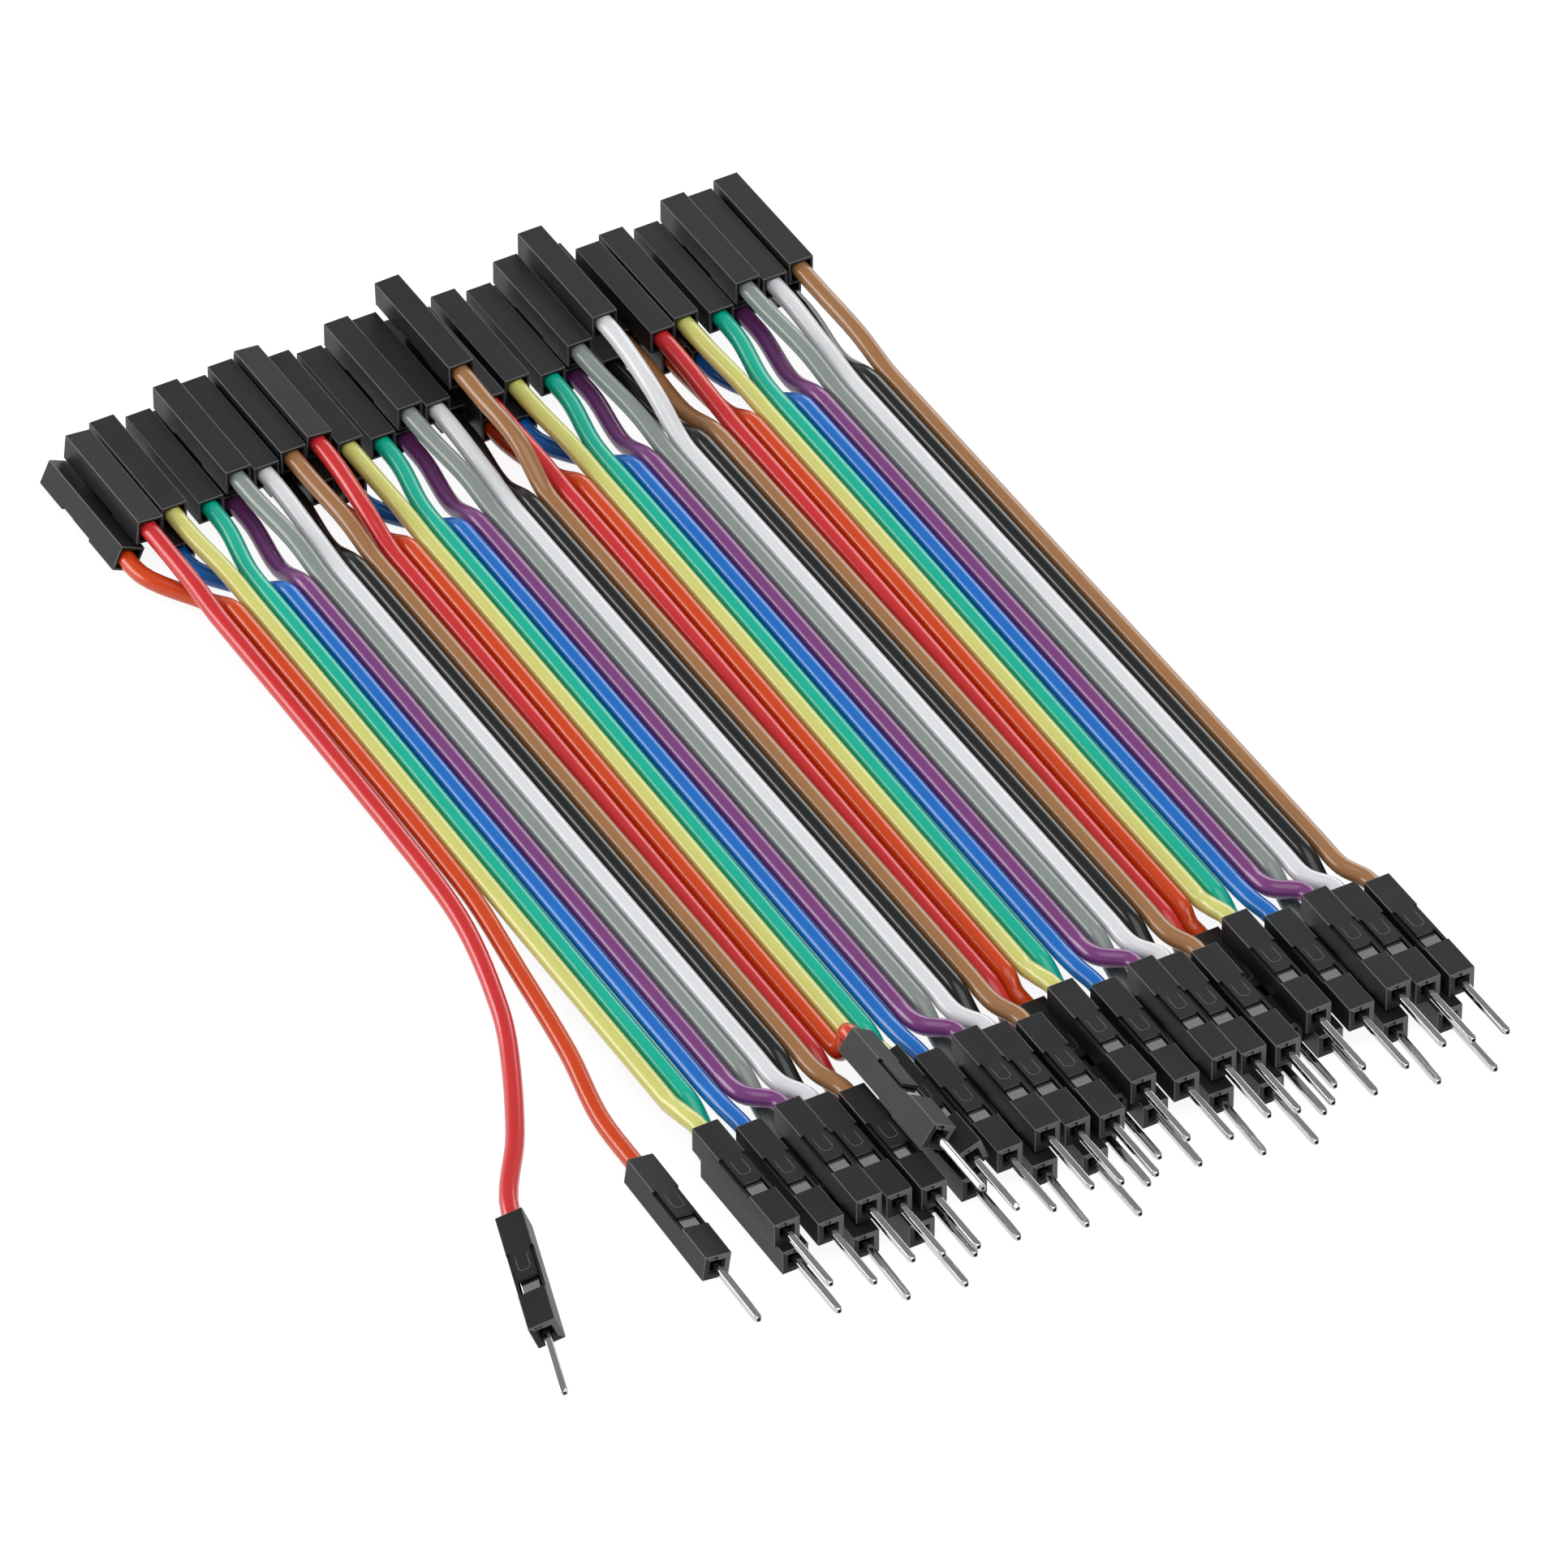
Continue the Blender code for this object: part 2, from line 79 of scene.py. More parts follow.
# Jumpers whose pieces are separate nodes; each of the others is one node
OPENED = (1, 2, 3, 12, 40)

# Lay of each colour's housing in a group of ten: across from its lane, forward of
# the row and height of its axis, in housing widths, then roll and yaw in degrees.
# Two layers lie half a width and about one and a half widths above the ground.
MALE_LAY = {
    "red": (-0.192, 0.28, 0.5, 0, 0),
    "orange": (0.116, -0.68, 0.5, 0, 0),
    "yellow": (0.12, 0.0, 1.532, 0, 0),
    "green": (-0.276, 0.32, 0.5, 0, 0),
    "blue": (0.1, 0.572, 1.412, 0, 0),
    "purple": (0.932, 0.488, 1.632, 0, 0),
    "grey": (0.005, 0.948, 0.5, 0, -1.5),
    "white": (0.592, 0.696, 1.52, 0, 0),
    "black": (0.2, 1.38, 0.5, 0, 0),
    "brown": (0.412, 0.94, 1.52, 0, 0),
}
FEMALE_LAY = {
    "red": (0.12, -0.32, 1.52, 0, 0),
    "orange": (-0.692, -0.48, 0.5, 0, 0),
    "yellow": (-0.152, -0.04, 1.52, 0, 0),
    "green": (0.552, -0.16, 1.3, 0, 0),
    "blue": (-1.76, -0.96, 0.5, 0, 0),
    "purple": (0.46, 0.48, 0.5, 0, 0),
    "grey": (-0.16, 0.328, 1.732, 0, 0),
    "white": (0.2, 0.172, 1.584, 0, 0),
    "black": (0.4, 0.72, 0.5, 0, 0),
    "brown": (-0.04, 0.3, 1.764, 0, 0),
}
# Single housings that lie apart from the pattern, those of the peeled wires among them
MALE_EXCEPTIONS = {
    1: (-5.733, -0.332, 0.664, -21, -17.4),
    2: (-1.431, -0.622, 0.572, 8, -1.2),
    4: (-0.44, 0.32, 0.5, 0, 0),
    9: (0.38, 1.38, 0.5, 0, 0),
    11: (-0.012, 0.28, 0.5, 0, 0),
    12: (0.08, -0.6, 2.44, 33, 0),
    13: (0.32, 0.12, 1.66, -20, 0),
    14: (-0.44, 0.32, 0.5, 0, 0),
    39: (0.38, 1.38, 0.5, 0, 0),
}
FEMALE_EXCEPTIONS = {
    1: (0.07, -0.366, 1.592, 6, 0),
    2: (-1.53, -0.392, 0.672, 25, 0),
    11: (0.336, 0.38, 1.92, 6, 0),
    13: (0.0, -0.04, 1.52, 0, 0),
    20: (0.0, 0.572, 2.54, -1.6, 0),
    21: (-0.02, -0.48, 1.52, 0, 0),
    28: (0.38, 0.692, 2.28, 0, 0),
    29: (-0.18, 0.24, 0.5, 0, 0),
    30: (0.144, 1.4, 0.5, 0, 0),
    32: (-0.24, -0.48, 0.5, 0, 0),
    35: (-1.32, -0.96, 0.5, 0, 0),
}
# Height of each colour's wire where the ribbon starts to fan out to the pins, in
# millimetres: each group of ten rises a little, and the next starts low again
START_HEIGHTS = {
    "red": 2.65,
    "orange": 2.8,
    "yellow": 2.9,
    "green": 2.85,
    "blue": 3.2,
    "purple": 3.45,
    "grey": 3.65,
    "white": 3.8,
    "black": 3.87,
    "brown": 3.82,
}
# Where the fan-outs bend: share of their length, of their sideways and of their upward travel
# on the way from the ribbon to the housing. Wire 12 climbs late and steeply, to the pin
# housing that lies on top of the others.
PIN_FAN = (0.55, 0.08, 0.70)
STEEP_FAN = {12: (0.65, 0.1, 0.12)}
SOCKET_FAN = (0.45, 0.2, 0.92)
# Routes of the two peeled wires from the ribbon to their pin housings, in millimetres
PEELED = {
    1: [(-34.1, 4.0, 3.1), (-34.6, -5.6, 2.7), (-36.8, -15.6, 2.2), (-38.9, -21.2, 1.95),
        (-43.1, -29.7, 1.7)],
    2: [(-32.25, -1.0, 3.0), (-33.2, -12.5, 2.4), (-34.3, -23.1, 1.9), (-35.7, -31.0, 1.5)],
}

# The sloped notch: how far left of the middle it lies as a share of its width, the
# height of its foot as a share of the front opening, and its top below the housing's
RAMP_ASIDE = 0.06
RAMP_FOOT = 0.45
RAMP_BELOW_TOP = 0.12 * MM
# The raised U on the tongue: from the tongue's root to its open ends, how far its
# round end stands out as a share of its arm, the steps round that end, the share of
# its thickness at the open ends, and how far its centre is sunk into the plastic
BEAD_START = 0.25 * MM
BEAD_BULGE = 0.75
BEAD_STEPS = 9
BEAD_END = 0.35
BEAD_SUNK = 0.02 * MM
# Rings of the pin's end, from its shoulder round the tip and into its dished face:
# millimetres back from the tip and share of the pin's width
PIN_NOSE = ((0.5, 1.0), (0.3, 0.93), (0.14, 0.8), (0.04, 0.72), (0.0, 0.64), (0.03, 0.5), (0.5, 0.45))
# Steps round each rolled corner of a pin, and the angle from which an edge stays sharp
CORNER_STEPS = 5
SHARP_FROM = math.radians(40)

# Shares of the plastic's colour in its darker and lighter flow marks and in the painted
# highlight on its rounded edges, and the depth of its moulded grain
PLASTIC_SHADES = (0.7, 1.3, 8.0)
GRAIN_DEPTH = 0.01 * MM
# The floor: its colour, its strength where the camera sees it, how much of that shows
# through its shadows, and its width
FLOOR_COLOUR = (0.86, 0.86, 0.86)
FLOOR_GLOW = 1.16
FLOOR_GLOW_SHARE = 0.78
FLOOR_WIDTH = 5.0
WHITE = (1.0, 1.0, 1.0, 1.0)


def length(label, default, description):
    """A setting that is a length."""
    return FloatProperty(name=label, default=default, min=0.0, unit="LENGTH", precision=5,
                         description=description)


def power(label, default, description):
    """A setting that is a lamp's power."""
    return FloatProperty(name=label, default=default, min=0.0, unit="POWER", description=description)


def colour(label, default):
    """A setting that is the colour of a finish."""
    return FloatVectorProperty(name=label, default=default, size=3, min=0.0, max=1.0, subtype="COLOR",
                               description="Colour of the " + label.lower())


class RibbonSizes(PropertyGroup):
    """Sizes of the insulated wires."""

    diameter: length("Wire diameter", 1.68 * MM, "Outer diameter of the insulation")
    sides: IntProperty(name="Sides", default=26, min=6, max=48, description="Faces round a wire")
    steps: IntProperty(name="Steps", default=6, min=2, max=24,
                       description="Rings between two points of a route")


class HousingSizes(PropertyGroup):
    """Sizes of the one-way housing, the same moulding at both ends."""

    width: length("Width", 2.5 * MM, "Side of the square moulding")
    length: length("Length", 14.0 * MM, "Wire end to mating end")
    mouth_width: length("Mouth width", 1.98 * MM, "Opening for the insulation")
    mouth_depth: length("Mouth depth", 3.6 * MM, "Depth of the opening for the insulation")
    channel_width: length("Channel width", 1.94 * MM, "Passage that holds the contact")
    opening_width: length("Front opening", 1.06 * MM, "Opening in the mating face")
    funnel_width: length("Funnel width", 1.34 * MM, "Lead-in round the front opening")
    funnel_depth: length("Funnel depth", 0.3 * MM, "Depth of the lead-in")
    front_wall: length("Front wall", 0.9 * MM, "Mating face to channel")
    ramp_width: length("Ramp width", 0.68 * MM, "Sloped notch above the front opening")
    ramp_depth: length("Ramp depth", 0.45 * MM, "Depth of the notch beside the opening")
    latch_start: length("Latch start", 4.6 * MM, "Wire end to the root of the latch tongue")
    tongue_length: length("Tongue length", 3.55 * MM, "Free length of the latch tongue")
    tongue_width: length("Tongue width", 1.94 * MM, "Width of the latch tongue")
    slit: length("Slit", 0.05 * MM, "Gap beside the latch tongue")
    window_length: length("Window length", 1.65 * MM, "Tongue's end to the front block")
    shelf_drop: length("Shelf drop", 0.30 * MM, "Top of the side walls below the tongue")
    bead_arm: length("Bead arm", 0.53 * MM, "Centre of the tongue to the raised line")
    bead_reach: length("Bead reach", 0.95 * MM, "Raised line's end to the tongue's end")
    bead_thickness: length("Bead thickness", 0.08 * MM, "Width of the raised line")
    edge: length("Edge radius", 0.07 * MM, "Softened edges of the moulding")


class ContactSizes(PropertyGroup):
    """Sizes of the formed sheet contacts."""

    pin_width: length("Pin width", 0.66 * MM, "Side of the square pin")
    pin_corner: length("Pin corner", 0.13 * MM, "Radius of the pin's rolled corners")
    pin_reach: length("Pin reach", 7.4 * MM, "Pin beyond the housing's mating face")
    box_width: length("Box width", 1.6 * MM, "Width of the contact's formed box")
    box_top: length("Box top", 0.88 * MM, "Top of the box above the contact's centre")
    sheet: length("Sheet", 0.2 * MM, "Thickness of the formed sheet")
    clearance: length("Clearance", 0.1 * MM, "Contact to the ends of its channel")
    crimp_length: length("Crimp length", 2.6 * MM, "Open barrel that grips the wire")
    socket_depth: length("Socket depth", 6.0 * MM, "Depth of the hole for the pin")


class Finishes(PropertyGroup):
    """Colours of the finishes."""

    plastic: colour("Housing plastic", (0.016, 0.016, 0.0165))
    tin: colour("Tinned contact", (0.62, 0.62, 0.61))
    red: colour("Red insulation", (0.56, 0.024, 0.027))
    orange: colour("Orange insulation", (0.58, 0.052, 0.005))
    yellow: colour("Yellow insulation", (0.60, 0.60, 0.17))
    green: colour("Green insulation", (0.003, 0.41, 0.28))
    blue: colour("Blue insulation", (0.006, 0.135, 0.50))
    purple: colour("Purple insulation", (0.18, 0.042, 0.18))
    grey: colour("Grey insulation", (0.225, 0.262, 0.245))
    white: colour("White insulation", (0.68, 0.69, 0.71))
    black: colour("Black insulation", (0.007, 0.010, 0.008))
    brown: colour("Brown insulation", (0.32, 0.15, 0.058))


class Studio(PropertyGroup):
    """Levels of the soft studio light."""

    left: power("Left strip", 2.8, "Strip light behind left")
    right: power("Right strip", 1.2, "Strip light behind right")
    front: power("Front light", 1.5, "Soft light in front")
    top: power("Overhead", 4.6, "Large soft light overhead")
    dome: FloatProperty(name="Dome", default=0.33, min=0.0, subtype="FACTOR",
                        description="Strength of the light from all round")


class JumperSettings(PropertyGroup):
    """Everything that can be set about the ribbon."""

    ribbon: PointerProperty(type=RibbonSizes)
    housing: PointerProperty(type=HousingSizes)
    contact: PointerProperty(type=ContactSizes)
    finish: PointerProperty(type=Finishes)
    studio: PointerProperty(type=Studio)


# The lay
def colour_of(wire):
    """The name of a wire's colour."""
    return COLOUR_ORDER[(wire - 1) % len(COLOUR_ORDER)]


def label_of(wire):
    """The end of the names of a wire's nodes and piece."""
    return f"{wire:02d}_{colour_of(wire)}"


def nodes_of(wire, piece):
    """The frame's nodes that a wire's piece stands for."""
    return [f"{piece}_{label_of(wire)}" if wire in OPENED else f"jumper_{label_of(wire)}"]


def lane(wire, pitch):
    """How far a wire lies from the middle of the ribbon, at a pitch."""
    return (wire - (WIRE_COUNT + 1) / 2) * pitch


def placed(lay, wire, width, row, away):
    """A housing's wire end in its lane, forward of its row in the direction given by away."""
    across, forward, height, roll, yaw = lay
    x = lane(wire, LANE_SHARE * width) + across * width
    y = row + ROW_SKEW * x + away * forward * width
    turn = Matrix.Rotation(math.radians(yaw), 4, "Z") @ Matrix.Rotation(math.radians(roll), 4, "Y")
    return Matrix.Translation(Vector((x, y, height * width)) + TO_CENTRE) @ turn


def male_place(wire, width):
    """Where a pin housing lies; its wire end faces +Y and its latch is on top."""
    return placed(MALE_EXCEPTIONS.get(wire, MALE_LAY[colour_of(wire)]), wire, width, MALE_ROW, -1)


def female_place(wire, width):
    """Where a socket housing lies; its wire end faces -Y and its latch is underneath."""
    lay = FEMALE_EXCEPTIONS.get(wire, FEMALE_LAY[colour_of(wire)])
    return placed(lay, wire, width, FEMALE_ROW, 1) @ Matrix.Rotation(math.pi, 4, "X")


def fan_out(start, end, shares):
    """The point between the ribbon and a housing, at shares of the way along, across and up."""
    along, across, height = shares
    return Vector((start.x + (end.x - start.x) * across,
                   start.y + (end.y - start.y) * along,
                   start.z + (end.z - start.z) * height))


def route_of(wire, housing):
    """Points and directions of a wire, from inside its pin housing to inside its socket housing."""
    male = male_place(wire, housing.width)
    female = female_place(wire, housing.width)
    seat = -SEAT_SHARE * housing.mouth_depth
    ahead = male.to_3x3() @ Vector((0, 1, 0))
    behind = female.to_3x3() @ Vector((0, -1, 0))
    straight = Vector((0, 1, 0))
    x = lane(wire, RIBBON_PITCH)
    near = [(male @ Vector((0, y, 0)), ahead) for y in (seat, PIN_EXIT)]
    ribbon_end = Vector((x, RIBBON_END, RIBBON_HEIGHT)) + TO_CENTRE
    mouth_end, seat_end = (female @ Vector((0, y, 0)) for y in (SOCKET_EXIT, seat))
    leaving = ((mouth_end - ribbon_end).normalized() + behind).normalized()
    far = [(mouth_end, leaving), (seat_end, behind)]
    if wire in PEELED:
        near += [(Vector(point) * MM + TO_CENTRE, None) for point in reversed(PEELED[wire])]
    else:
        ribbon_start = Vector((x, RIBBON_START, START_HEIGHTS[colour_of(wire)] * MM)) + TO_CENTRE
        bend = fan_out(ribbon_start, near[-1][0], STEEP_FAN.get(wire, PIN_FAN))
        near += [(bend, None), (ribbon_start, straight)]
    return near + [(ribbon_end, straight), (fan_out(ribbon_end, far[0][0], SOCKET_FAN), None)] + far


def smooth_path(route, steps):
    """A smooth curve through a route's points."""
    points = [point for point, _ in route]
    tangents = []
    for index, (point, direction) in enumerate(route):
        if direction is None:
            direction = (points[index + 1] - points[index - 1]).normalized()
        tangents.append(direction)
    path = []
    for index in range(len(points) - 1):
        start, end = points[index], points[index + 1]
        reach = (end - start).length / 3
        path += interpolate_bezier(start, start + tangents[index] * reach,
                                   end - tangents[index + 1] * reach, end, steps + 1)[:-1]
    return path + [points[-1]]


# Node trees
class Signal:
    """A socket on which sums, differences and products add Math nodes."""

    def __init__(self, graph, socket):
        self.graph = graph
        self.socket = socket

    def combined(self, operation, first, second):
        return self.graph.add("ShaderNodeMath", {"operation": operation}, {0: first, 1: second})

    def __add__(self, other):
        return self.combined("ADD", self, other)

    def __sub__(self, other):
        return self.combined("SUBTRACT", self, other)

    def __rsub__(self, other):
        return self.combined("SUBTRACT", other, self)

    def __mul__(self, other):
        return self.combined("MULTIPLY", self, other)

    __radd__ = __add__
    __rmul__ = __mul__


class Graph:
    """A node tree with one method that adds every node."""

    def __init__(self, tree):
        self.tree = tree
        self.tree.nodes.clear()

    def add(self, kind, settings=None, inputs=None, output=0):
        """Add a node, set it, fill its sockets and return one of its outputs."""
        node = self.tree.nodes.new(kind)
        for name, value in (settings or {}).items():
            setattr(node, name, value)
        for socket, value in (inputs or {}).items():
            if isinstance(value, Signal):
                self.tree.links.new(value.socket, node.inputs[socket])
            else:
                node.inputs[socket].default_value = value
        return Signal(self, node.outputs[output]) if node.outputs else node


def material_graph(name):
    """A new material and its empty node tree."""
    material = bpy.data.materials.new(name)
    material.use_nodes = True
    return material, Graph(material.node_tree)


def noise(graph, vector, scale, detail):
    """Cloudy noise, with scale spots to a metre."""
    return graph.add("ShaderNodeTexNoise", {}, {"Vector": vector, "Scale": scale, "Detail": detail}, "Fac")


def stretched(graph, vector, scale):
    """Coordinates scaled along each axis; a small scale draws a pattern out."""
    return graph.add("ShaderNodeMapping", {"vector_type": "POINT"}, {"Vector": vector, "Scale": scale})


def blended(graph, factor, first, second):
    """A colour between two colours."""
    return graph.add("ShaderNodeMix", {"data_type": "RGBA"}, {0: factor, 6: first, 7: second}, 2)


def shade(base, share):
    """A lighter or darker colour, with its alpha."""
    return (*(min(1.0, channel * share) for channel in base), 1.0)


def finish_material(graph, inputs):
    """End a material in a shader with these inputs."""
    shader = graph.add("ShaderNodeBsdfPrincipled", {}, inputs, "BSDF")
    graph.add("ShaderNodeOutputMaterial", {}, {"Surface": shader})


def housing_plastic(finish):
    """Moulded black plastic: faint flow marks, a fine spark-eroded grain, and a painted highlight where the
    attribute edge is set.
    """
    material, graph = material_graph("housing_plastic")
    place = graph.add("ShaderNodeTexCoord", {}, {}, "Object")
    flow = noise(graph, stretched(graph, place, (1.0, 0.35, 1.0)), scale=700.0, detail=3.0)
    cloud = noise(graph, place, scale=260.0, detail=2.0)
    grain = noise(graph, place, scale=9000.0, detail=2.0)
    darker, lighter, painted_edge_highlight = (shade(finish.plastic, share) for share in PLASTIC_SHADES)
    face = blended(graph, cloud * 0.6 + flow * 0.4, darker, lighter)
    # The rounded edges, the notch's slope and the tongue's bead carry the attribute edge; there the base
    # colour is a painted highlight, far lighter than the plastic
    edge = graph.add("ShaderNodeAttribute", {"attribute_name": "edge"}, {}, "Fac")
    relief = {"Height": grain * 0.4 + flow * 0.6, "Strength": 0.10, "Distance": GRAIN_DEPTH}
    finish_material(graph, {
        "Base Color": blended(graph, edge, face, painted_edge_highlight),
        "Roughness": flow * 0.14 + 0.34,
        "Specular IOR Level": 0.2,
        "Normal": graph.add("ShaderNodeBump", {}, relief),
    })
    return material


def tinned_sheet(finish):
    """Bright tin over rolled sheet: fine drawn lines along the contact."""
    material, graph = material_graph("tinned_contact")
    place = graph.add("ShaderNodeTexCoord", {}, {}, "Object")
    drawn = noise(graph, stretched(graph, place, (1.0, 0.03, 1.0)), scale=4000.0, detail=1.0)
    cloud = noise(graph, place, scale=900.0, detail=2.0)
    finish_material(graph, {
        "Base Color": blended(graph, cloud, shade(finish.tin, 0.86), shade(finish.tin, 1.05)),
        "Metallic": 1.0,
        "Roughness": drawn * 0.04 + 0.06,
    })
    return material


def insulation(name, base):
    """Extruded glossy insulation, with very faint lines and slow changes along the wire."""
    material, graph = material_graph(name + "_insulation")
    section = graph.add("ShaderNodeAttribute", {"attribute_name": "section"}, {}, "Vector")
    along = graph.add("ShaderNodeAttribute", {"attribute_name": "along"}, {}, "Fac")
    offset = graph.add("ShaderNodeCombineXYZ", {}, {"Z": along})
    tube = graph.add("ShaderNodeVectorMath", {"operation": "ADD"}, {0: section, 1: offset})
    lines = noise(graph, stretched(graph, tube, (1.0, 1.0, 0.01)), scale=1500.0, detail=1.0)
    slow = noise(graph, stretched(graph, tube, (0.3, 0.3, 0.3)), scale=330.0, detail=1.0)
    finish_material(graph, {
        "Base Color": blended(graph, slow * 0.8 + lines * 0.2, shade(base, 0.94), shade(base, 1.06)),
        "Roughness": slow * 0.04 + lines * 0.02 + 0.17,
    })
    return material


def new_group(name, inputs):
    """A geometry tree with a Geometry socket in and out and the named inputs."""
    tree = bpy.data.node_groups.new(name, "GeometryNodeTree")
    tree.interface.new_socket("Geometry", in_out="INPUT", socket_type="NodeSocketGeometry")
    for label, kind in inputs:
        tree.interface.new_socket(label, in_out="INPUT", socket_type=kind)
    tree.interface.new_socket("Geometry", in_out="OUTPUT", socket_type="NodeSocketGeometry")
    return tree, Graph(tree)


def group_input(graph, name):
    """One of the tree's own inputs."""
    return graph.add("NodeGroupInput", {}, {}, name)


def finish_group(graph, geometry):
    """End a geometry tree in real geometry of the tree's material."""
    real = graph.add("GeometryNodeRealizeInstances", {}, {"Geometry": geometry})
    painted = graph.add("GeometryNodeSetMaterial", {},
                        {"Geometry": real, "Material": group_input(graph, "Material")})
    graph.add("NodeGroupOutput", {}, {"Geometry": painted})


def tube_group():
    """Sweeps a round section along a curve and keeps where each point is on it."""
    tree, graph = new_group("wire_insulation", (("Diameter", "NodeSocketFloat"), ("Sides", "NodeSocketInt"),
                                                ("Material", "NodeSocketMaterial")))
    along = graph.add("GeometryNodeSplineParameter", {}, {}, "Length")
    rail = graph.add("GeometryNodeStoreNamedAttribute", {"data_type": "FLOAT", "domain": "POINT"},
                     {"Geometry": group_input(graph, "Geometry"), "Name": "along", "Value": along})
    radius = group_input(graph, "Diameter") * 0.5
    circle = graph.add("GeometryNodeCurvePrimitiveCircle", {"mode": "RADIUS"},
                       {"Resolution": group_input(graph, "Sides"), "Radius": radius})
    place = graph.add("GeometryNodeInputPosition")
    section = graph.add("GeometryNodeStoreNamedAttribute", {"data_type": "FLOAT_VECTOR", "domain": "POINT"},
                        {"Geometry": circle, "Name": "section", "Value": place})
    swept = graph.add("GeometryNodeCurveToMesh", {},
                      {"Curve": rail, "Profile Curve": section, "Fill Caps": True})
    smooth = graph.add("GeometryNodeSetShadeSmooth", {"domain": "FACE"},
                       {"Geometry": swept, "Shade Smooth": True})
    finish_group(graph, smooth)
    return tree


def row_group():
    """Sets a copy of one piece on each point, turned as the point says."""
    tree, graph = new_group("row_of_pieces",
                            (("Piece", "NodeSocketObject"), ("Material", "NodeSocketMaterial")))
    piece = graph.add("GeometryNodeObjectInfo", {"transform_space": "ORIGINAL"},
                      {"Object": group_input(graph, "Piece"), "As Instance": True}, "Geometry")
    turn = graph.add("GeometryNodeInputNamedAttribute", {"data_type": "FLOAT_VECTOR"},
                     {"Name": "turn"}, "Attribute")
    rotation = graph.add("FunctionNodeEulerToRotation", {}, {0: turn})
    copies = graph.add("GeometryNodeInstanceOnPoints", {},
                       {"Points": group_input(graph, "Geometry"), "Instance": piece, "Rotation": rotation})
    finish_group(graph, copies)
    return tree


def with_group(obj, tree, values):
    """Give an object the tree as a modifier, with its inputs set by their identifiers."""
    modifier = obj.modifiers.new(tree.name, "NODES")
    modifier.node_group = tree
    for item in tree.interface.items_tree:
        if item.in_out == "INPUT" and item.name in values:
            modifier[item.identifier] = values[item.name]
    return obj


# Meshes
def link(name, data):
    """A new object in the scene."""
    obj = bpy.data.objects.new(name, data)
    bpy.context.scene.collection.objects.link(obj)
    return obj


def plain_mesh(obj, name):
    """Turn an object and its modifiers into a plain mesh object of that name."""
    bpy.context.view_layer.update()
    graph = bpy.context.evaluated_depsgraph_get()
    mesh = bpy.data.meshes.new_from_object(obj.evaluated_get(graph))
    bpy.data.objects.remove(obj, do_unlink=True)
    mesh.name = name
    if not mesh.polygons:
        raise RuntimeError(name + " has no faces")
    return link(name, mesh)


def prism(name, low_outline, high_outline):
    """A closed form between two outlines of equally many points."""
    form = bmesh.new()
    low = [form.verts.new(point) for point in low_outline]
    high = [form.verts.new(point) for point in high_outline]
    form.faces.new(low)
    form.faces.new(high)
    for index in range(len(low)):
        after = (index + 1) % len(low)
        form.faces.new((low[index], low[after], high[after], high[index]))
    bmesh.ops.recalc_face_normals(form, faces=form.faces)
    mesh = bpy.data.meshes.new(name)
    form.to_mesh(mesh)
    form.free()
    return link(name, mesh)


def block(name, low, high):
    """A box between two corners."""
    (x0, y0, z0), (x1, y1, z1) = low, high
    outline = ((x0, y0), (x1, y0), (x1, y1), (x0, y1))
    return prism(name, [(x, y, z0) for x, y in outline], [(x, y, z1) for x, y in outline])


def square(y, side, corner=0.0, steps=1):
    """A square outline in the XZ plane, with its corners rounded in steps."""
    inset = side / 2 - corner
    points = []
    for quarter, (across, up) in enumerate(((1, 1), (-1, 1), (-1, -1), (1, -1))):
        for step in range(steps):
            turn = math.radians(90 * quarter + (90 * step / (steps - 1) if steps > 1 else 45))
            points.append((across * inset + corner * math.cos(turn), y, up * inset + corner * math.sin(turn)))
    return points


def combine(base, others, operation):
    """Join or cut the base with each of the others, which are used up."""
    for other in others:
        step = base.modifiers.new(other.name, "BOOLEAN")
        step.operation = operation
        step.solver = "EXACT"
        step.object = other
    result = plain_mesh(base, base.name)
    for other in others:
        bpy.data.objects.remove(other, do_unlink=True)
    return result


def facing(face):
    """The direction that a face looks in, rounded so that two can be compared."""
    return tuple(round(part, 3) for part in face.normal)


def softened(obj, width, segments=2, angle=30.0):
    """Round the edges; the attribute edge is 1 on the faces that this makes, where the housing plastic paints
    a highlight.
    """
    mark_painted_highlight(obj.data, [0.0] * len(obj.data.polygons))
    flats = {facing(face) for face in obj.data.polygons}
    bevel = obj.modifiers.new("edges", "BEVEL")
    bevel.width = width
    bevel.segments = segments
    bevel.limit_method = "ANGLE"
    bevel.angle_limit = math.radians(angle)
    rounded = plain_mesh(obj, obj.name)
    mark_painted_highlight(rounded.data, [float(facing(face) not in flats) for face in rounded.data.polygons])
    return rounded


def mark_painted_highlight(mesh, values):
    """Store on each face how much of the plastic's painted highlight it gets, from 0 to 1."""
    marks = mesh.attributes.get("edge") or mesh.attributes.new("edge", "FLOAT", "FACE")
    marks.data.foreach_set("value", values)


